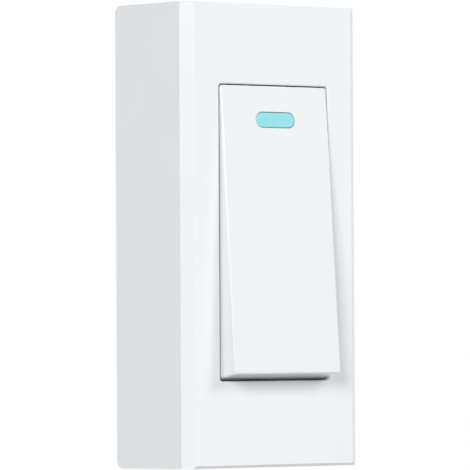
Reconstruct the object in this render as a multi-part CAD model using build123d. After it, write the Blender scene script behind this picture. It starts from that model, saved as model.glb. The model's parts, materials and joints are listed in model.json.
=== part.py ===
from build123d import *
import os
from math import asin, cos, degrees, hypot, radians, sin, tan

# A narrow surface-mounted light switch: one tall white moulded body with beveled long edges,
# and one large flat rocker with a small luminous marker near its top.
# Sizes are millimetres and degrees. X runs across, Z up, and the wall is the plane Y = 0.
# The body stands out from the wall along -Y, and every "out" value is a distance from the wall.
# Heights inside the module are measured from the rocker's pivot.

# Body: its height and width are those of the front, and the draft widens it towards the wall
body_height = 86.0
body_width = 40.0
body_depth = 22.6
body_draft = 0.75
side_wall = 1.8
front_wall = 2.2
bevel = 2.0
ridge_round = 0.3
end_bevel = 0.5
rear_round = 1.6
cover_off_wall = 0.1
cover_rib_width = 1.2
cover_rib_depth = 1.4
cover_rib_inset = 7.0

# Opening for the rocker in the front wall
opening_width = 25.0
opening_height = 55.0
opening_rise = 0.5
opening_corner = 0.6
opening_edge_bevel = 0.2

# Rocker
rocker_tilt = 4.5
rocker_side_gap = 0.38
rocker_end_gap = 0.25
rocker_wall = 1.6
rocker_skirt = 8.4
rocker_draft = 5.5
rocker_corner = 0.5
rocker_edge_bevel = 0.2
pivot_depth = 5.2
trunnion_radius = 1.5
trunnion_play = 0.05
trunnion_end_gap = 0.1
ear_thickness = 2.0
ear_gap = 0.5
ear_wall = 1.9
ear_mouth = 2.7
rib_thickness = 1.0
rib_spacing = 18.0

# Luminous marker
marker_length = 9.0
marker_width = 3.0
marker_from_top = 6.3
marker_sunk = 0.05
marker_edge = 0.1
marker_slack = 0.12
marker_flange = 0.8
marker_flange_thickness = 0.6

# Plunger and spring inside the rocker
tube_bore_radius = 1.75
tube_wall = 1.0
tube_reach = 3.4
tube_roof = 0.6
plunger_radius = 1.67
plunger_nose_radius = 1.6
plunger_nose_width = 1.5
plunger_nose_taper = 0.8
plunger_shoulder = 0.5
plunger_peg_radius = 0.75
plunger_peg_height = 1.5
spring_radius = 1.2
spring_wire = 0.3
spring_turns = 3.5
spring_seat_gap = 0.02
nose_gap = 0.15

# Switching module behind the rocker
module_width = 24.0
module_height = 41.0
module_rear = 4.2
module_split = 9.4
module_front = 13.2
module_wall = 1.4
module_floor = 1.2
module_corner = 1.0
roof_thickness = 1.4
channel_wall = 0.9
post_radius = 2.4
post_spacing = 17.0
stop_length = 1.6
stop_gap = 0.2
lug_width = 7.0
lug_thickness = 2.5
boss_radius = 2.6
boss_opening_gap = 1.5
boss_root = 1.1
slot_room = 0.3

# Contacts
strip_thickness = 0.6
strip_width = 6.0
strip_bend = 0.7
strip_play = 0.15
lever_end_gap = 1.1
lever_width = 5.0
lever_thickness = 0.8
lever_groove = 0.25
lever_play = 0.04
fulcrum_height = 2.8
fulcrum_width = 2.6
fulcrum_tip = 0.3
fulcrum_flank = 1.2
contact_inset = 2.0
contact_lift = 1.485
contact_radius = 1.6
contact_shank_radius = 0.8
contact_head = 0.25
contact_dome = 0.25
contact_meet_gap = 0.02
load_strip_reach = 2.0
supply_strip_reach = 1.8

# Terminals at the two ends of the module
bay_length = 7.0
terminal_inset = 3.9
terminal_width = 13.4
terminal_nut_width = 4.6
terminal_nut_height = 1.2
terminal_screw_radius = 1.5
terminal_head_radius = 2.8
terminal_head_height = 1.4
terminal_head_sunk = 0.3
terminal_screw_tip = 1.8
driver_hole_radius = 3.3
clamp_width = 12.0
clamp_length = 5.4
clamp_thickness = 0.9
clamp_lip = 0.5
wire_port_width = 3.6
wire_port_offset = 4.0

# Small screws: two hold the module to the cover, two hold the module's lid
small_screw_radius = 1.0
small_head_radius = 1.9
small_head_height = 1.2
module_screw_bite = 5.6
lid_screw_bite = 3.4
screw_slack = 0.02
screw_tip_gap = 0.4
hole_slack = 0.15
recess_width = 0.5
recess_depth = 0.6
recess_share = 0.65

# Base plate against the wall
plate_thickness = 2.2
plate_gap = 0.15
plate_corner = 1.0
plate_rim_height = 3.0
plate_rim_thickness = 1.2
cable_entry_width = 22.0
cable_entry_height = 11.6
cable_entry_boss_gap = 0.6
cable_entry_corner = 2.0
wall_hole_spacing = 60.0
wall_hole_radius = 2.2
wall_boss_radius = 4.0
wall_boss_height = 1.0
latch_spacing = 34.0
latch_width = 7.0
latch_height = 6.6
latch_hook = 0.6
latch_hook_height = 1.4
latch_hook_land = 0.4
latch_slit = 0.8
latch_play = 0.2
pry_slot_width = 6.0
pry_slot_height = 1.2

# Worked out from the sizes above
front_inside = body_depth - front_wall
pivot_out = body_depth - pivot_depth
tilt_sin = sin(radians(rocker_tilt))
tilt_cos = cos(radians(rocker_tilt))
rocker_half_height = tilt_cos * (opening_height / 2 - rocker_end_gap) - tilt_sin * pivot_depth
rocker_face = (pivot_depth + rocker_half_height * tilt_sin) / tilt_cos
rocker_half_width = opening_width / 2 - rocker_side_gap
rocker_rear = rocker_face - rocker_skirt
rocker_inside = rocker_face - rocker_wall
marker_rise = rocker_half_height - marker_from_top
ear_start = rocker_half_width + ear_gap
floor_out = module_rear + module_floor
strip_front = floor_out + strip_thickness
fulcrum_out = strip_front + fulcrum_height
lever_rear = fulcrum_out + lever_play - lever_groove
lever_front = lever_rear + lever_thickness
plunger_reach = pivot_out - lever_front - nose_gap
roof_out = module_front - roof_thickness
bay_end = module_height / 2 - module_wall
bay_start = bay_end - bay_length
terminal_offset = bay_start + terminal_inset
lever_half = bay_start - lever_end_gap
contact_offset = lever_half - contact_inset
lever_tilt = degrees(asin(contact_lift / contact_offset))
terminal_strip_out = module_split - strip_thickness
terminal_head_out = module_rear + terminal_head_sunk
clamp_out = terminal_head_out + terminal_head_height
clamp_front = clamp_out + clamp_thickness
lug_screw_rise = opening_height / 2 + boss_opening_gap + boss_radius
lug_rear = module_front - lug_thickness
plate_half_width = body_width / 2 - side_wall - plate_gap
plate_half_height = body_height / 2 - side_wall - plate_gap
rim_front = plate_thickness + plate_rim_height
cable_entry_bottom = wall_hole_spacing / 2 - wall_boss_radius - cable_entry_boss_gap
cable_entry_drop = cable_entry_bottom - cable_entry_height / 2

# The moving contact's dome, and where it meets the fixed contact when the lever is tilted over
dome_radius = (contact_radius ** 2 + contact_dome ** 2) / (2 * contact_dome)
dome_centre = lever_rear - fulcrum_out - contact_head - contact_dome + dome_radius
lever_sin = contact_lift / contact_offset
lever_cos = cos(radians(lever_tilt))
meeting_out = fulcrum_out + dome_centre * lever_cos - contact_lift - dome_radius
meeting_rise = contact_offset * lever_cos + dome_centre * lever_sin
fixed_head = meeting_out - contact_meet_gap - strip_front

# Planes whose second direction is the distance out from the wall, or the height
plan_plane = Plane(origin=(0, 0, 0), x_dir=(1, 0, 0), z_dir=(0, 0, -1))
side_plane = Plane(origin=(0, 0, opening_rise), x_dir=(0, -1, 0), z_dir=(-1, 0, 0))
front_plane = Plane(origin=(0, 0, 0), x_dir=(1, 0, 0), z_dir=(0, -1, 0))
pivot_axis = Axis((0, -pivot_out, opening_rise), (1, 0, 0))
fulcrum_axis = Axis((0, -fulcrum_out, opening_rise), (1, 0, 0))


def slab(sketch, start, end):
    """A sketch of X and Z as a solid that runs from start to end, out from the wall."""
    return extrude(front_plane.offset(start) * sketch, amount=end - start)


def round_bar(x, z, radius, start, end):
    """A round bar square to the wall."""
    return slab(Pos(x, z) * Circle(radius), start, end)


def block(width, height, start, end, x=0.0, z=0.0):
    """A plain block, centred on x and z, from start to end out from the wall."""
    return slab(Pos(x, z) * Rectangle(width, height), start, end)


def side_prism(points, width):
    """A closed outline of (out, height from the pivot) points, spread evenly across X."""
    face = make_face(Polyline(*points, close=True))
    return extrude(side_plane * face, amount=width / 2, both=True)


def turned(points, x, z):
    """A closed outline of (radius, out) points, turned about a line square to the wall."""
    face = make_face(Polyline(*points, close=True))
    return Pos(x, 0, z) * Rot(90, 0, 0) * revolve(Plane.XZ * face, Axis.Z)


def mirrored(shape):
    """The shape and its mirror image across the middle plane X = 0."""
    return shape + mirror(shape, about=Plane.YZ)


def rocked(shape):
    """A piece modelled square on, turned with the rocker to its resting tilt."""
    return shape.rotate(pivot_axis, -rocker_tilt)


def levered(shape):
    """A piece modelled square on, turned with the contact lever to its resting tilt."""
    return shape.rotate(fulcrum_axis, lever_tilt)


def cover_outside():
    """The body's outer form: beveled long edges, and ends that curve into the back."""
    slope = tan(radians(body_draft))
    flare = (body_depth - cover_off_wall) * slope
    half_width = body_width / 2
    half_height = body_height / 2
    plan = Polyline(
        (-half_width - flare, cover_off_wall),
        (-half_width - bevel * slope, body_depth - bevel),
        (-half_width + bevel, body_depth),
        (half_width - bevel, body_depth),
        (half_width + bevel * slope, body_depth - bevel),
        (half_width + flare, cover_off_wall),
        close=True,
    )
    ends = [
        (cover_off_wall, -half_height - flare),
        (cover_off_wall, half_height + flare),
        (body_depth - end_bevel, half_height + end_bevel * slope),
        (body_depth, half_height - end_bevel),
        (body_depth, end_bevel - half_height),
        (body_depth - end_bevel, -half_height - end_bevel * slope),
    ]
    form = extrude(plan_plane * make_face(plan), amount=body_height, both=True)
    form &= Pos(0, 0, -opening_rise) * side_prism(ends, 2 * body_width)
    form = fillet(form.faces().sort_by(Axis.Y)[-1].edges().filter_by(Axis.X), rear_round)
    ridges = [
        edge for edge in form.edges().filter_by(Axis.Z) if -edge.center().Y > body_depth / 2
    ]
    return fillet(ridges, ridge_round)


def cover_inside():
    """The hollow behind the front and between the side and end walls, with matching bevels."""
    half_width = body_width / 2 - side_wall
    across = bevel - side_wall * (2 - 2 ** 0.5) / 2
    plan = Polyline(
        (-half_width, -1.0),
        (-half_width, front_inside - across),
        (-half_width + across, front_inside),
        (half_width - across, front_inside),
        (half_width, front_inside - across),
        (half_width, -1.0),
        close=True,
    )
    return extrude(plan_plane * make_face(plan), amount=body_height / 2 - side_wall, both=True)


def pivot_ear():
    """The ear behind the front wall that carries a trunnion, which snaps in from the wall side."""
    reach = trunnion_radius + ear_wall
    middle = ear_start + ear_thickness / 2
    centre = Pos(middle, -pivot_out, opening_rise) * Rot(0, 90, 0)
    web = block(
        ear_thickness, 2 * reach, pivot_out, front_inside + boss_root, middle, opening_rise
    )
    ear = web + centre * Cylinder(reach, ear_thickness)
    ear -= centre * Cylinder(trunnion_radius + trunnion_play, 2 * ear_thickness)
    mouth = block(
        2 * ear_thickness, ear_mouth, pivot_out - 2 * reach, pivot_out, middle, opening_rise
    )
    return ear - mouth


def latch_pocket(side, edge):
    """The blind pocket in a side wall that one of the base plate's latches clicks into."""
    hook_rear = plate_thickness + latch_height - latch_hook_height
    depth = latch_hook + latch_play - plate_gap
    inner = body_width / 2 - side_wall
    return block(
        depth + 1.0,
        latch_width + 2 * latch_play,
        hook_rear,
        plate_thickness + latch_height + latch_play,
        edge * (inner + (depth - 1.0) / 2),
        side * latch_spacing / 2,
    )


def front_cover():
    """The white shell: front, sides and ends, open towards the wall."""
    cover = cover_outside() - cover_inside()
    place = Pos(0, opening_rise)
    opening = place * RectangleRounded(opening_width, opening_height, opening_corner)
    cover -= slab(opening, front_inside - 1.0, body_depth + 1.0)
    cover = chamfer(cover.faces().sort_by(Axis.Y)[0].inner_wires()[0].edges(), opening_edge_bevel)
    cover += mirrored(pivot_ear())
    inner = body_width / 2 - side_wall
    for side in (-1, 1):
        height = opening_rise + side * lug_screw_rise
        cover += round_bar(0, height, boss_radius, module_front, front_inside + boss_root)
        cover -= round_bar(
            0, height, small_screw_radius + screw_slack, module_front - 1.0,
            module_front + module_screw_bite,
        )
        rib = block(
            cover_rib_depth + 0.5,
            cover_rib_width,
            rim_front,
            front_inside - bevel,
            inner - (cover_rib_depth - 0.5) / 2,
            side * (body_height / 2 - cover_rib_inset),
        )
        cover += mirrored(rib)
        for edge in (-1, 1):
            cover -= latch_pocket(side, edge)
    pry_slot = block(
        pry_slot_width, 2 * side_wall, 0, cover_off_wall + pry_slot_height, 0,
        side_wall - body_height / 2 - 0.5,
    )
    return cover - pry_slot


def rocker_outline(inset, rear):
    """The rocker's side outline, square on: flat face and drafted ends, drawn in by inset."""
    front = pivot_out + rocker_face - inset
    slope = tan(radians(rocker_draft))
    half_front = rocker_half_height - inset + inset * slope
    half_rear = half_front + (front - rear) * slope
    return [(front, -half_front), (front, half_front), (rear, half_rear), (rear, -half_rear)]


def rocker():
    """The large flat rocker: a hollow cap with two trunnions, ribs and the plunger's tube."""
    rear = pivot_out + rocker_rear
    face_out = pivot_out + rocker_face
    inside_out = pivot_out + rocker_inside
    seat_out = inside_out + rocker_wall / 2
    rib_rear = pivot_out + rocker_inside / 2
    cap = side_prism(rocker_outline(0, rear), 2 * rocker_half_width)
    uprights = [edge for edge in cap.edges() if abs(edge.tangent_at(0.5).Y) > 0.9]
    cap = fillet(uprights, rocker_corner)
    cap = chamfer(cap.faces().sort_by(Axis.Y)[0].edges(), rocker_edge_bevel)
    inner_width = 2 * (rocker_half_width - rocker_wall)
    cap -= side_prism(rocker_outline(rocker_wall, rear - 1.0), inner_width)
    cap += block(rib_thickness, rib_spacing, rib_rear, seat_out, 0, opening_rise)
    for side in (-1, 1):
        height = opening_rise + side * rib_spacing / 2
        cap += block(inner_width + rocker_wall, rib_thickness, rib_rear, seat_out, 0, height)
    cap += round_bar(0, opening_rise, tube_bore_radius + tube_wall, pivot_out - tube_reach, seat_out)
    cap -= round_bar(
        0, opening_rise, tube_bore_radius, pivot_out - tube_reach - 1.0, inside_out - tube_roof
    )
    root = rocker_half_width - rocker_wall / 2
    tip = ear_start + ear_thickness - trunnion_end_gap
    pin = Cylinder(trunnion_radius, tip - root)
    cap += mirrored(Pos((root + tip) / 2, -pivot_out, opening_rise) * Rot(0, 90, 0) * pin)
    window = Pos(0, opening_rise + marker_rise) * SlotOverall(marker_length, marker_width)
    cap -= slab(window, inside_out - 1.0, face_out + 1.0)
    return rocked(cap)


def luminous_marker():
    """The small stadium-shaped luminous insert, held by a flange behind the rocker's face."""
    face_out = pivot_out + rocker_face
    inside_out = pivot_out + rocker_inside
    place = Pos(0, opening_rise + marker_rise)
    lens_length = marker_length - 2 * marker_slack
    lens_width = marker_width - 2 * marker_slack
    lens = slab(place * SlotOverall(lens_length, lens_width), inside_out, face_out - marker_sunk)
    lens = chamfer(lens.faces().sort_by(Axis.Y)[0].edges(), marker_edge)
    flange = SlotOverall(marker_length + 2 * marker_flange, marker_width + 2 * marker_flange)
    lens += slab(place * flange, inside_out - marker_flange_thickness, inside_out)
    return rocked(lens)


def plunger():
    """The sprung pin in the rocker's tube, whose round nose pushes the contact lever over."""
    nose_out = pivot_out - plunger_reach
    shoulder_out = pivot_out + plunger_shoulder
    nose_half = plunger_nose_width / 2
    angle = asin(nose_half / plunger_nose_radius)
    nose_rise = plunger_nose_radius * (1 - cos(angle))
    nose = ThreePointArc(
        (0, nose_out),
        (
            plunger_nose_radius * sin(angle / 2),
            nose_out + plunger_nose_radius * (1 - cos(angle / 2)),
        ),
        (nose_half, nose_out + nose_rise),
    )
    side = Polyline(
        (nose_half, nose_out + nose_rise),
        (plunger_radius, nose_out + nose_rise + plunger_nose_taper),
        (plunger_radius, shoulder_out),
        (plunger_peg_radius, shoulder_out),
        (plunger_peg_radius, shoulder_out + plunger_peg_height),
        (0, shoulder_out + plunger_peg_height),
        (0, nose_out),
    )
    body = revolve(Plane.XZ * make_face([nose.edge(), *side.edges()]), Axis.Z)
    return rocked(Pos(0, 0, opening_rise) * Rot(90, 0, 0) * body)


def plunger_spring():
    """The compression spring between the plunger's shoulder and the end of the tube."""
    seat = spring_wire / 2 + spring_seat_gap
    start = pivot_out + plunger_shoulder + seat
    length = pivot_out + rocker_inside - tube_roof - seat - start
    coil = Helix(pitch=length / spring_turns, height=length, radius=spring_radius)
    wire = sweep(Plane(coil @ 0, z_dir=coil % 0) * RegularPolygon(spring_wire / 2, 6), path=coil)
    return rocked(Pos(0, 0, opening_rise) * Rot(90, 0, 0) * Pos(0, 0, start) * wire)


def module_base():
    """The rear tub of the switching module, open to the front, with a terminal bay at each end."""
    outline = Pos(0, opening_rise) * RectangleRounded(module_width, module_height, module_corner)
    tub = slab(outline, module_rear, module_split)
    channel_width = strip_width + 2 * strip_play
    tub -= block(
        channel_width, 2 * (bay_start + 0.5), floor_out, module_split + 1.0, 0, opening_rise
    )
    pocket_start = channel_width / 2 + channel_wall
    pocket_end = module_width / 2 - module_wall
    pocket = block(
        pocket_end - pocket_start,
        2 * (bay_start - channel_wall),
        floor_out,
        module_split + 1.0,
        (pocket_start + pocket_end) / 2,
        opening_rise,
    )
    pocket -= round_bar(post_spacing / 2, opening_rise, post_radius, 0, body_depth)
    tub -= mirrored(pocket)
    tub -= mirrored(
        round_bar(
            post_spacing / 2, opening_rise, small_screw_radius + screw_slack,
            module_split - lid_screw_bite, module_split + 1.0,
        )
    )
    bay_height = bay_end - bay_start
    for side in (-1, 1):
        bay_middle = opening_rise + side * (bay_start + bay_end) / 2
        terminal = opening_rise + side * terminal_offset
        tub -= block(
            clamp_width + 2 * hole_slack, bay_height, floor_out, module_split + 1.0, 0, bay_middle
        )
        tub -= block(
            terminal_width + 2 * strip_play, bay_height, terminal_strip_out, module_split + 1.0,
            0, bay_middle,
        )
        tub -= round_bar(0, terminal, driver_hole_radius, module_rear - 1.0, floor_out + 1.0)
        port = block(
            wire_port_width,
            2 * module_wall,
            clamp_front,
            terminal_strip_out,
            wire_port_offset,
            opening_rise + side * (module_height / 2 - module_wall / 2),
        )
        tub -= mirrored(port)
    return tub


def module_lid():
    """The front half of the module: plunger slot, rocker stops and the lugs for its screws."""
    outline = Pos(0, opening_rise) * RectangleRounded(module_width, module_height, module_corner)
    lid = slab(outline, module_split, module_front)
    lid -= block(
        strip_width + 2 * strip_play, 2 * bay_start, module_split - 1.0, roof_out, 0, opening_rise
    )
    swing = (pivot_out - roof_out) * tilt_sin
    slot = Pos(0, opening_rise) * SlotOverall(
        2 * (plunger_radius + swing + slot_room), 2 * (plunger_radius + slot_room), rotation=90
    )
    lid -= slab(slot, roof_out - 1.0, module_front + 1.0)
    stop_reach = module_height / 2 - module_corner
    stop_out = pivot_out + rocker_rear * tilt_cos - stop_reach * tilt_sin - stop_gap
    stop_width = module_width / 2 - rocker_half_width + rocker_wall
    for side in (-1, 1):
        height = opening_rise + side * lug_screw_rise
        reach = lug_screw_rise - module_height / 2 + module_wall
        middle = opening_rise + side * (lug_screw_rise - reach / 2)
        lid += block(lug_width, reach, lug_rear, module_front, 0, middle)
        lid += round_bar(0, height, lug_width / 2, lug_rear, module_front)
        lid -= round_bar(0, height, small_screw_radius + hole_slack, 0, body_depth)
        nut_width = terminal_nut_width + 2 * hole_slack
        lid -= block(
            nut_width, nut_width, module_split - 1.0,
            module_split + terminal_screw_tip + hole_slack, 0,
            opening_rise + side * terminal_offset,
        )
        stop = block(
            stop_width,
            stop_length,
            module_front - 0.5,
            stop_out,
            (module_width - stop_width) / 2,
            opening_rise + side * (stop_reach - stop_length / 2),
        )
        lid += mirrored(stop)
    hole = round_bar(post_spacing / 2, opening_rise, small_screw_radius + hole_slack, 0, body_depth)
    return lid - mirrored(hole)


def terminal_strip(side, tongue_end):
    """A strip from its terminal plate and square nut down to the floor, ending at tongue_end."""
    middle = strip_thickness / 2
    leg = bay_start + strip_thickness
    line = FilletPolyline(
        (terminal_strip_out + middle, side * (bay_end - strip_play)),
        (terminal_strip_out + middle, side * leg),
        (floor_out + middle, side * leg),
        (floor_out + middle, tongue_end),
        radius=strip_bend,
    )
    metal = extrude(side_plane * trace(line, strip_thickness), amount=strip_width / 2, both=True)
    place = opening_rise + side * terminal_offset
    plate_height = 2 * (bay_end - strip_play - terminal_offset)
    metal += block(terminal_width, plate_height, terminal_strip_out, module_split, 0, place)
    nut_front = module_split + terminal_nut_height
    metal += block(terminal_nut_width, terminal_nut_width, terminal_strip_out, nut_front, 0, place)
    metal -= round_bar(0, place, terminal_screw_radius + screw_slack, 0, body_depth)
    return metal


def load_terminal():
    """The upper strip, whose tongue carries the fixed contact."""
    metal = terminal_strip(1, meeting_rise - load_strip_reach)
    return metal - round_bar(
        0, opening_rise + meeting_rise, contact_shank_radius + screw_slack, 0, strip_front + 1.0
    )


def contact_fulcrum():
    """The blunt ridge on the supply strip that the lever rocks on."""
    shoulder = fulcrum_out - fulcrum_flank
    return side_prism(
        [
            (strip_front, -fulcrum_width / 2),
            (shoulder, -fulcrum_width / 2),
            (fulcrum_out, -fulcrum_tip / 2),
            (fulcrum_out, fulcrum_tip / 2),
            (shoulder, fulcrum_width / 2),
            (strip_front, fulcrum_width / 2),
        ],
        lever_width,
    )


def fixed_contact():
    """The contact rivet in the load strip."""
    front = strip_front + fixed_head
    return turned(
        [
            (0, floor_out),
            (contact_shank_radius, floor_out),
            (contact_shank_radius, strip_front),
            (contact_radius, strip_front),
            (contact_radius, front),
            (0, front),
        ],
        0,
        opening_rise + meeting_rise,
    )


def contact_lever():
    """The rocking lever, with a groove across its middle that sits over the fulcrum."""
    half = lever_half
    floor_half = fulcrum_tip / 2 + lever_play
    mouth_half = floor_half + lever_groove * tan(radians(60))
    groove = lever_rear + lever_groove
    lever = side_prism(
        [
            (lever_rear, -half),
            (lever_rear, -mouth_half),
            (groove, -floor_half),
            (groove, floor_half),
            (lever_rear, mouth_half),
            (lever_rear, half),
            (lever_front, half),
            (lever_front, -half),
        ],
        lever_width,
    )
    corners = [
        edge for edge in lever.edges().filter_by(Axis.Y)
        if abs(abs(edge.center().Z - opening_rise) - half) < 0.01
    ]
    lever = fillet(corners, lever_width / 4)
    hole = round_bar(0, opening_rise + contact_offset, contact_shank_radius + screw_slack, 0, body_depth)
    return levered(lever - hole)


def moving_contact():
    """The domed contact rivet in the lever's upper arm."""
    crown = lever_rear - contact_head
    half_angle = hypot(contact_radius, contact_dome) / (2 * dome_radius)
    dome = ThreePointArc(
        (0, crown - contact_dome),
        (dome_radius * sin(half_angle), crown - contact_dome + dome_radius * (1 - cos(half_angle))),
        (contact_radius, crown),
    )
    rest = Polyline(
        (contact_radius, crown),
        (contact_radius, lever_rear),
        (contact_shank_radius, lever_rear),
        (contact_shank_radius, lever_front),
        (0, lever_front),
        (0, crown - contact_dome),
    )
    rivet = revolve(Plane.XZ * make_face([dome.edge(), *rest.edges()]), Axis.Z)
    return levered(Pos(0, 0, opening_rise + contact_offset) * Rot(90, 0, 0) * rivet)


def cross_recess(x, z, start, end, reach):
    """The two crossed slots of a screw head, cut from start to end."""
    wide = block(2 * reach, recess_width, start, end, x, z)
    return wide + block(recess_width, 2 * reach, start, end, x, z)


def terminal_screw(side):
    """A slotted terminal screw: its head faces the wall, its tip stands past the nut."""
    place = opening_rise + side * terminal_offset
    tip = module_split + terminal_screw_tip
    head = round_bar(0, place, terminal_head_radius, terminal_head_out, clamp_out)
    screw = head + round_bar(0, place, terminal_screw_radius, clamp_out, tip)
    return screw - block(
        3 * terminal_head_radius, recess_width, terminal_head_out - 1.0,
        terminal_head_out + recess_depth, 0, place,
    )


def wire_clamp(side):
    """The pressure plate under a terminal screw, with a lip along each end edge."""
    place = opening_rise + side * terminal_offset
    clamp = block(clamp_width, clamp_length, clamp_out, clamp_front, 0, place)
    for edge in (-1, 1):
        lip = place + edge * (clamp_length - clamp_thickness) / 2
        clamp += block(clamp_width, clamp_thickness, clamp_front - 0.1, clamp_front + clamp_lip, 0, lip)
        for port in (-1, 1):
            clamp -= block(
                wire_port_width, 2 * clamp_thickness, clamp_front, clamp_front + 1.0,
                port * wire_port_offset, lip,
            )
    return clamp - round_bar(0, place, terminal_screw_radius + hole_slack, 0, body_depth)


def module_screw(side):
    """A screw from the wall side through a lug into the cover's boss."""
    place = opening_rise + side * lug_screw_rise
    head_rear = lug_rear - small_head_height
    tip = module_front + module_screw_bite - screw_tip_gap
    screw = round_bar(0, place, small_head_radius, head_rear, lug_rear)
    screw += round_bar(0, place, small_screw_radius, lug_rear, tip)
    reach = recess_share * small_head_radius
    return screw - cross_recess(0, place, head_rear - 1.0, head_rear + recess_depth, reach)


def lid_screw(side):
    """A screw from the front through the lid into a post of the tub."""
    place = side * post_spacing / 2
    head_front = module_front + small_head_height
    tip = module_split - lid_screw_bite + screw_tip_gap
    screw = round_bar(place, opening_rise, small_head_radius, module_front, head_front)
    screw += round_bar(place, opening_rise, small_screw_radius, tip, module_front)
    reach = recess_share * small_head_radius
    return screw - cross_recess(
        place, opening_rise, head_front - recess_depth, head_front + 1.0, reach
    )


def base_latch(side):
    """One of the plate's upright latches on the right-hand edge, with its hook at the front."""
    outer = plate_half_width
    height = side * latch_spacing / 2
    top = plate_thickness + latch_height
    stem = block(
        plate_rim_thickness, latch_width, plate_thickness - 0.5, top,
        outer - plate_rim_thickness / 2, height,
    )
    hook = Polyline(
        (outer - 0.2, top - latch_hook_height),
        (outer + latch_hook, top - latch_hook_height),
        (outer + latch_hook, top - latch_hook_height + latch_hook_land),
        (outer, top),
        (outer - 0.2, top),
        close=True,
    )
    solid = extrude(plan_plane * make_face(hook), amount=latch_width / 2, both=True)
    return stem + Pos(0, 0, height) * solid


def base_plate():
    """The plate that is screwed to the wall, with a cable entry, two screw holes and four latches."""
    outline = RectangleRounded(2 * plate_half_width, 2 * plate_half_height, plate_corner)
    hollow = Rectangle(
        2 * (plate_half_width - plate_rim_thickness), 2 * (plate_half_height - plate_rim_thickness)
    )
    plate = slab(outline, 0, plate_thickness) + slab(outline - hollow, plate_thickness, rim_front)
    for side in (-1, 1):
        gap = block(
            4 * plate_rim_thickness, latch_width + 2 * latch_slit, plate_thickness,
            rim_front + 1.0, plate_half_width, side * latch_spacing / 2,
        )
        plate = plate - mirrored(gap) + mirrored(base_latch(side))
        hole = side * wall_hole_spacing / 2
        plate += round_bar(0, hole, wall_boss_radius, 0.5, plate_thickness + wall_boss_height)
        plate -= round_bar(0, hole, wall_hole_radius, -1.0, body_depth)
    entry = Pos(0, -cable_entry_drop) * RectangleRounded(
        cable_entry_width, cable_entry_height, cable_entry_corner
    )
    return plate - slab(entry, -1.0, plate_thickness + 1.0)


def build_all():
    """Every piece of the switch by name."""
    return {
        "front_cover": front_cover(),
        "rocker": rocker(),
        "luminous_marker": luminous_marker(),
        "plunger": plunger(),
        "plunger_spring": plunger_spring(),
        "base_plate": base_plate(),
        "module_base": module_base(),
        "module_lid": module_lid(),
        "supply_terminal": terminal_strip(-1, supply_strip_reach),
        "load_terminal": load_terminal(),
        "contact_fulcrum": contact_fulcrum(),
        "fixed_contact": fixed_contact(),
        "contact_lever": contact_lever(),
        "moving_contact": moving_contact(),
        "supply_screw": terminal_screw(-1),
        "load_screw": terminal_screw(1),
        "supply_clamp": wire_clamp(-1),
        "load_clamp": wire_clamp(1),
        "lower_module_screw": module_screw(-1),
        "upper_module_screw": module_screw(1),
        "left_lid_screw": lid_screw(-1),
        "right_lid_screw": lid_screw(1),
    }


os.makedirs("parts", exist_ok=True)
for name, piece in build_all().items():
    export_step(piece, f"parts/{name}.step")
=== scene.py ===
import json
import math

import bmesh
import bpy
from mathutils import Matrix, Vector


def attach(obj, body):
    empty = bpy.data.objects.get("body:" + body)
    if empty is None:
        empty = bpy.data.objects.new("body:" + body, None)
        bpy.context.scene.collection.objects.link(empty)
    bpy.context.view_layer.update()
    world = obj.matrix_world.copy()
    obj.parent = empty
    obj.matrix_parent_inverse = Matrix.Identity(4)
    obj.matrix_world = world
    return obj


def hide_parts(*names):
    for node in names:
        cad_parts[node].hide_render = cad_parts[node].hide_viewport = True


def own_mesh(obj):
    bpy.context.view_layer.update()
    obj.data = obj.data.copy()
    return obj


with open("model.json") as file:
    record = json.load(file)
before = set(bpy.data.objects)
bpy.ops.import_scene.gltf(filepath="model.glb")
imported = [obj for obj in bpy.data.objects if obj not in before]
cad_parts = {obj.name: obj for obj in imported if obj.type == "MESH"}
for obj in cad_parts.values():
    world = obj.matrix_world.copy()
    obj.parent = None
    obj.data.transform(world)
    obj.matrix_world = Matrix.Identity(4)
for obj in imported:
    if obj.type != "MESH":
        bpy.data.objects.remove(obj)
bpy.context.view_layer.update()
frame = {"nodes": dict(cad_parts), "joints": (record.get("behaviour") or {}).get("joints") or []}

MM = 0.001
nodes = frame["nodes"]


# Materials

# Most of a noise texture's values lie between these two
NOISE_LOW = 0.35
NOISE_HIGH = 0.65


def shader_tree(name):
    """A new material, its node tree, its Principled shader and a coordinate source."""
    material = bpy.data.materials.new(name)
    material.use_nodes = True
    tree = material.node_tree
    shader = tree.nodes["Principled BSDF"]
    coords = tree.nodes.new("ShaderNodeTexCoord")
    return material, tree, shader, coords


def noise(tree, coords, scale, detail, density=None):
    """A noise value with scale features per metre, and density times as many along each axis."""
    node = tree.nodes.new("ShaderNodeTexNoise")
    node.inputs["Scale"].default_value = scale
    node.inputs["Detail"].default_value = detail
    node.inputs["Roughness"].default_value = 0.55
    position = coords.outputs["Object"]
    if density:
        mapping = tree.nodes.new("ShaderNodeMapping")
        mapping.inputs["Scale"].default_value = density
        tree.links.new(position, mapping.inputs["Vector"])
        position = mapping.outputs["Vector"]
    tree.links.new(position, node.inputs["Vector"])
    return node.outputs["Fac"]


def spread(tree, source, low, high, start=NOISE_LOW, end=NOISE_HIGH):
    """A value between low and high that follows the source between start and end."""
    node = tree.nodes.new("ShaderNodeMapRange")
    node.inputs["From Min"].default_value = start
    node.inputs["From Max"].default_value = end
    node.inputs["To Min"].default_value = low
    node.inputs["To Max"].default_value = high
    tree.links.new(source, node.inputs["Value"])
    return node.outputs["Result"]


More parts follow.
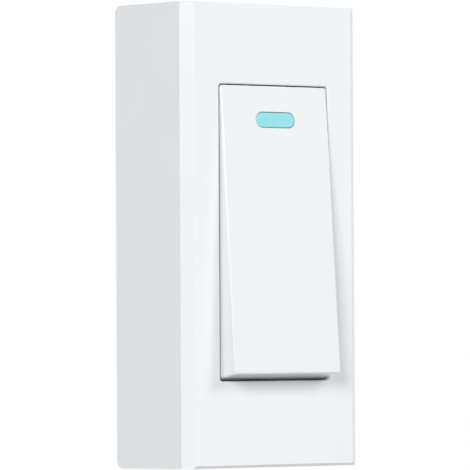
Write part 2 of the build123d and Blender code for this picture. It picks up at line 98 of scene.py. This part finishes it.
def uneven_color(tree, shader, source, color, darker, lighter):
    """The shader's colour, between two close tints that follow the source."""
    ramp = tree.nodes.new("ShaderNodeValToRGB")
    stops = zip(ramp.color_ramp.elements, (NOISE_LOW, NOISE_HIGH), (darker, lighter))
    for stop, position, factor in stops:
        stop.position = position
        stop.color = (*(min(1.0, channel * factor) for channel in color), 1.0)
    tree.links.new(source, ramp.inputs["Fac"])
    tree.links.new(ramp.outputs["Color"], shader.inputs["Base Color"])


def uneven_gloss(tree, shader, source, roughness, smoother, rougher):
    """The shader's roughness, between two shares of itself that follow the source."""
    value = spread(tree, source, roughness * smoother, roughness * rougher)
    tree.links.new(value, shader.inputs["Roughness"])


def bumped(tree, shader, source, strength, distance):
    """Fine relief on the shader from a height source, with distance in metres."""
    bump = tree.nodes.new("ShaderNodeBump")
    bump.inputs["Strength"].default_value = strength
    bump.inputs["Distance"].default_value = distance
    tree.links.new(source, bump.inputs["Height"])
    tree.links.new(bump.outputs["Normal"], shader.inputs["Normal"])


def plastic(name, color, roughness, coat=0.0, subsurface=0.0, relief=0.004 * MM):
    """Moulded plastic: close tints, slightly uneven gloss and a very fine moulded surface."""
    material, tree, shader, coords = shader_tree(name)
    cloud = noise(tree, coords, scale=55.0, detail=3.0)
    uneven_color(tree, shader, cloud, color, darker=0.992, lighter=1.006)
    patch = noise(tree, coords, scale=240.0, detail=5.0)
    uneven_gloss(tree, shader, patch, roughness, smoother=0.9, rougher=1.12)
    grain = noise(tree, coords, scale=2600.0, detail=2.0)
    bumped(tree, shader, grain, strength=0.25, distance=relief)
    shader.inputs["IOR"].default_value = 1.49
    shader.inputs["Coat Weight"].default_value = coat
    shader.inputs["Coat Roughness"].default_value = 0.12
    shader.inputs["Subsurface Weight"].default_value = subsurface
    shader.inputs["Subsurface Radius"].default_value = (0.6, 0.6, 0.6)
    shader.inputs["Subsurface Scale"].default_value = 1.0 * MM
    return material


def metal(name, color, roughness, density=None):
    """Plated or drawn metal: slightly uneven colour, and fine marks across the denser axes."""
    material, tree, shader, coords = shader_tree(name)
    cloud = noise(tree, coords, scale=420.0, detail=4.0)
    uneven_color(tree, shader, cloud, color, darker=0.94, lighter=1.03)
    marks = noise(tree, coords, scale=900.0, detail=6.0, density=density)
    uneven_gloss(tree, shader, marks, roughness, smoother=0.85, rougher=1.2)
    bumped(tree, shader, marks, strength=0.15, distance=0.006 * MM)
    shader.inputs["Metallic"].default_value = 1.0
    return material


white_body = plastic("white_body", (0.88, 0.903, 0.919), roughness=0.24, coat=0.15)
white_rocker = plastic("white_rocker", (0.875, 0.889, 0.895), roughness=0.2, coat=0.2)
white_plate = plastic("white_plate", (0.84, 0.85, 0.85), roughness=0.42, relief=0.008 * MM)
white_inner = plastic("white_inner", (0.8, 0.8, 0.76), roughness=0.38)
grey_module = plastic("grey_module", (0.3, 0.31, 0.32), roughness=0.45, relief=0.01 * MM)
luminous = plastic("luminous", (0.3, 0.77, 0.81), roughness=0.16, coat=0.4, subsurface=0.15)
brass = metal("brass", (0.8, 0.6, 0.3), roughness=0.3, density=(1.0, 1.0, 9.0))
contact_alloy = metal("contact_alloy", (0.82, 0.81, 0.78), roughness=0.22)
spring_steel = metal("spring_steel", (0.6, 0.6, 0.61), roughness=0.26, density=(4.0, 4.0, 1.0))
screw_steel = metal("screw_steel", (0.7, 0.7, 0.68), roughness=0.3, density=(1.0, 6.0, 1.0))

finish_of = {
    "front_cover": white_body,
    "rocker": white_rocker,
    "luminous_marker": luminous,
    "plunger": white_inner,
    "base_plate": white_plate,
    "module_base": grey_module,
    "module_lid": grey_module,
    "supply_terminal": brass,
    "load_terminal": brass,
    "contact_fulcrum": brass,
    "contact_lever": brass,
    "fixed_contact": contact_alloy,
    "moving_contact": contact_alloy,
    "supply_screw": screw_steel,
    "load_screw": screw_steel,
    "supply_clamp": screw_steel,
    "load_clamp": screw_steel,
    "lower_module_screw": screw_steel,
    "upper_module_screw": screw_steel,
    "left_lid_screw": screw_steel,
    "right_lid_screw": screw_steel,
}
for name, material in finish_of.items():
    piece = nodes[name]
    piece.data.materials.clear()
    piece.data.materials.append(material)


# Plunger spring

# Round wire in place of the CAD's six-sided one, carried with the rocker. The coil's radius is
# measured to the middle of the wire.
COIL_RADIUS = 1.2 * MM
COIL_TURNS = 3.5
WIRE_RADIUS = 0.15 * MM
RINGS_PER_TURN = 30
WIRE_SIDES = 12


def coil_spring(name, start, end, across):
    """A closed tube of round wire that winds from start to end, beginning on the across side."""
    along = end - start
    aside = along.normalized().cross(across)
    full_angle = 2 * math.pi * COIL_TURNS
    pitch = along / full_angle
    count = round(COIL_TURNS * RINGS_PER_TURN)
    mesh = bmesh.new()
    rings = []
    for i in range(count + 1):
        angle = full_angle * i / count
        outward = across * math.cos(angle) + aside * math.sin(angle)
        forward = aside * math.cos(angle) - across * math.sin(angle)
        middle = start + along * i / count + outward * COIL_RADIUS
        side = (forward * COIL_RADIUS + pitch).normalized().cross(outward)
        ring = []
        for j in range(WIRE_SIDES):
            turn = 2 * math.pi * j / WIRE_SIDES
            offset = outward * math.cos(turn) + side * math.sin(turn)
            ring.append(mesh.verts.new(middle + offset * WIRE_RADIUS))
        rings.append(ring)
    for first, second in zip(rings, rings[1:]):
        for j in range(WIRE_SIDES):
            k = (j + 1) % WIRE_SIDES
            mesh.faces.new((first[j], first[k], second[k], second[j])).smooth = True
    mesh.faces.new(rings[0][::-1])
    mesh.faces.new(rings[-1])
    bmesh.ops.recalc_face_normals(mesh, faces=mesh.faces)
    data = bpy.data.meshes.new(name)
    mesh.to_mesh(data)
    mesh.free()
    spring = bpy.data.objects.new(name, data)
    bpy.context.scene.collection.objects.link(spring)
    return spring


joints = {joint["name"]: joint for joint in frame["joints"]}
slide = Vector(joints["plunger_slide"]["axis"]).normalized()
pivot = Vector(joints["rocker_pivot"]["pos_m"])

# The CAD spring's two ends, measured along the slide from the rocker's pivot
cad_spring = nodes["plunger_spring"]
heights = [
    slide.dot(cad_spring.matrix_world @ vertex.co - pivot) for vertex in cad_spring.data.vertices
]
low, high = min(heights), max(heights)

spring = coil_spring(
    "round_wire_spring",
    start=pivot + slide * (low + WIRE_RADIUS),
    end=pivot + slide * (high - WIRE_RADIUS),
    across=Vector((1.0, 0.0, 0.0)),
)
spring.data.materials.append(spring_steel)
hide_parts("plunger_spring")
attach(spring, "rocker")
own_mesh(spring)


# Camera

# A long lens, well to the left of the front and almost level, with its angles in degrees. The
# target lies in the switch's middle plane, at about half its depth and just above the origin.
CAMERA_AZIMUTH = -35.7
CAMERA_ELEVATION = -1.25
CAMERA_ROLL = -0.33
CAMERA_DISTANCE = 891.5 * MM
TARGET_DEPTH = 10.0 * MM
TARGET_RISE = 0.37 * MM
FOCAL_LENGTH_PIXELS = 4741.6
PICTURE_WIDTH_PIXELS = 470.0


def direction(azimuth, elevation):
    """Toward a viewer or a light, with azimuth from the front and elevation from level, in degrees."""
    turn, rise = math.radians(azimuth), math.radians(elevation)
    return Vector(
        (math.sin(turn) * math.cos(rise), -math.cos(turn) * math.cos(rise), math.sin(rise))
    )


def camera_axes(azimuth, elevation, roll):
    """The camera's right, up and backward directions."""
    turn, tilt = math.radians(azimuth), math.radians(roll)
    back = direction(azimuth, elevation)
    level = Vector((math.cos(turn), math.sin(turn), 0.0))
    upright = back.cross(level)
    right = level * math.cos(tilt) + upright * math.sin(tilt)
    up = upright * math.cos(tilt) - level * math.sin(tilt)
    return right, up, back


right, up, back = camera_axes(CAMERA_AZIMUTH, CAMERA_ELEVATION, CAMERA_ROLL)
target = Vector((0.0, -TARGET_DEPTH, 0.0)) + up * TARGET_RISE
camera_data = bpy.data.cameras.new("camera")
camera_data.sensor_width = 36.0
camera_data.lens = FOCAL_LENGTH_PIXELS / PICTURE_WIDTH_PIXELS * camera_data.sensor_width
camera_data.clip_start = 0.05
camera_data.clip_end = 50.0
camera = bpy.data.objects.new("camera", camera_data)
turned = Matrix((right, up, back)).transposed().to_4x4()
camera.matrix_world = Matrix.Translation(target + back * CAMERA_DISTANCE) @ turned
bpy.context.scene.collection.objects.link(camera)
bpy.context.scene.camera = camera


# Lights

def area_light(name, azimuth, elevation, distance, size, power):
    """A soft square light that faces the part, in degrees, metres and watts."""
    data = bpy.data.lights.new(name, "AREA")
    data.shape = "SQUARE"
    data.size = size
    data.energy = power
    light = bpy.data.objects.new(name, data)
    toward = direction(azimuth, elevation)
    light.location = toward * distance
    light.rotation_euler = toward.to_track_quat("Z", "Y").to_euler()
    bpy.context.scene.collection.objects.link(light)


area_light("left", azimuth=-53.0, elevation=22.0, distance=2.0, size=0.72, power=23.6)
area_light("right", azimuth=34.0, elevation=32.0, distance=1.5, size=0.6, power=7.2)
area_light("low", azimuth=25.0, elevation=-15.0, distance=1.1, size=0.4, power=1.1)
area_light("rear", azimuth=165.0, elevation=25.0, distance=1.1, size=0.4, power=6.0)


# White surroundings

def picture_ray(tree):
    """1 for rays that show the surroundings to the camera, in gloss or through clear parts."""
    path = tree.nodes.new("ShaderNodeLightPath")
    seen = path.outputs["Is Camera Ray"]
    for kind in ("Is Glossy Ray", "Is Transmission Ray"):
        either = tree.nodes.new("ShaderNodeMath")
        either.operation = "MAXIMUM"
        tree.links.new(seen, either.inputs[0])
        tree.links.new(path.outputs[kind], either.inputs[1])
        seen = either.outputs["Value"]
    return seen


def background(tree, color, strength):
    """A background of one colour."""
    node = tree.nodes.new("ShaderNodeBackground")
    node.inputs["Color"].default_value = (*color, 1.0)
    node.inputs["Strength"].default_value = strength
    return node.outputs["Background"]


def mixed(tree, share, first, second):
    """The first shader, and as much of the second as the share says."""
    node = tree.nodes.new("ShaderNodeMixShader")
    tree.links.new(share, node.inputs["Fac"])
    tree.links.new(first, node.inputs[1])
    tree.links.new(second, node.inputs[2])
    return node.outputs["Shader"]


def white_world():
    """Dim bluish light on the part, and plain white where the surroundings are seen."""
    world = bpy.data.worlds.new("world")
    bpy.context.scene.world = world
    world.use_nodes = True
    tree = world.node_tree
    tree.nodes.clear()
    output = tree.nodes.new("ShaderNodeOutputWorld")
    ambient = background(tree, (0.97, 0.985, 1.0), strength=0.3)
    backdrop = background(tree, (1.0, 1.0, 1.0), strength=1.0)
    tree.links.new(mixed(tree, picture_ray(tree), ambient, backdrop), output.inputs["Surface"])


def floor_finish():
    """Pale grey that glows white where it is seen, and wholly so toward the floor's edge."""
    material, tree, shader, coords = shader_tree("floor")
    shader.inputs["Base Color"].default_value = (0.9, 0.9, 0.9, 1.0)
    shader.inputs["Roughness"].default_value = 0.8
    glow = tree.nodes.new("ShaderNodeEmission")
    glow.inputs["Strength"].default_value = 1.0
    reach = tree.nodes.new("ShaderNodeVectorMath")
    reach.operation = "LENGTH"
    tree.links.new(coords.outputs["Object"], reach.inputs[0])
    fade = spread(tree, reach.outputs["Value"], low=0.8, high=1.0, start=1.5, end=2.9)
    share = tree.nodes.new("ShaderNodeMath")
    share.operation = "MULTIPLY"
    tree.links.new(picture_ray(tree), share.inputs[0])
    tree.links.new(fade, share.inputs[1])
    surface = mixed(tree, share.outputs["Value"], shader.outputs["BSDF"], glow.outputs["Emission"])
    tree.links.new(surface, tree.nodes["Material Output"].inputs["Surface"])
    return material


def square_floor(name, half, level):
    """A level square round the vertical axis, from half its side and its height in metres."""
    mesh = bpy.data.meshes.new(name)
    corners = [(x * half, y * half, level) for x, y in ((-1, -1), (1, -1), (1, 1), (-1, 1))]
    mesh.from_pydata(corners, [], [(0, 1, 2, 3)])
    mesh.materials.append(floor_finish())
    square = bpy.data.objects.new(name, mesh)
    bpy.context.scene.collection.objects.link(square)
    return square


white_world()

# The floor lies as far below the switch as in a room, and fades into the white backdrop
floor = square_floor("floor", half=3.0, level=-1.2)

bpy.context.scene.view_settings.view_transform = "Standard"
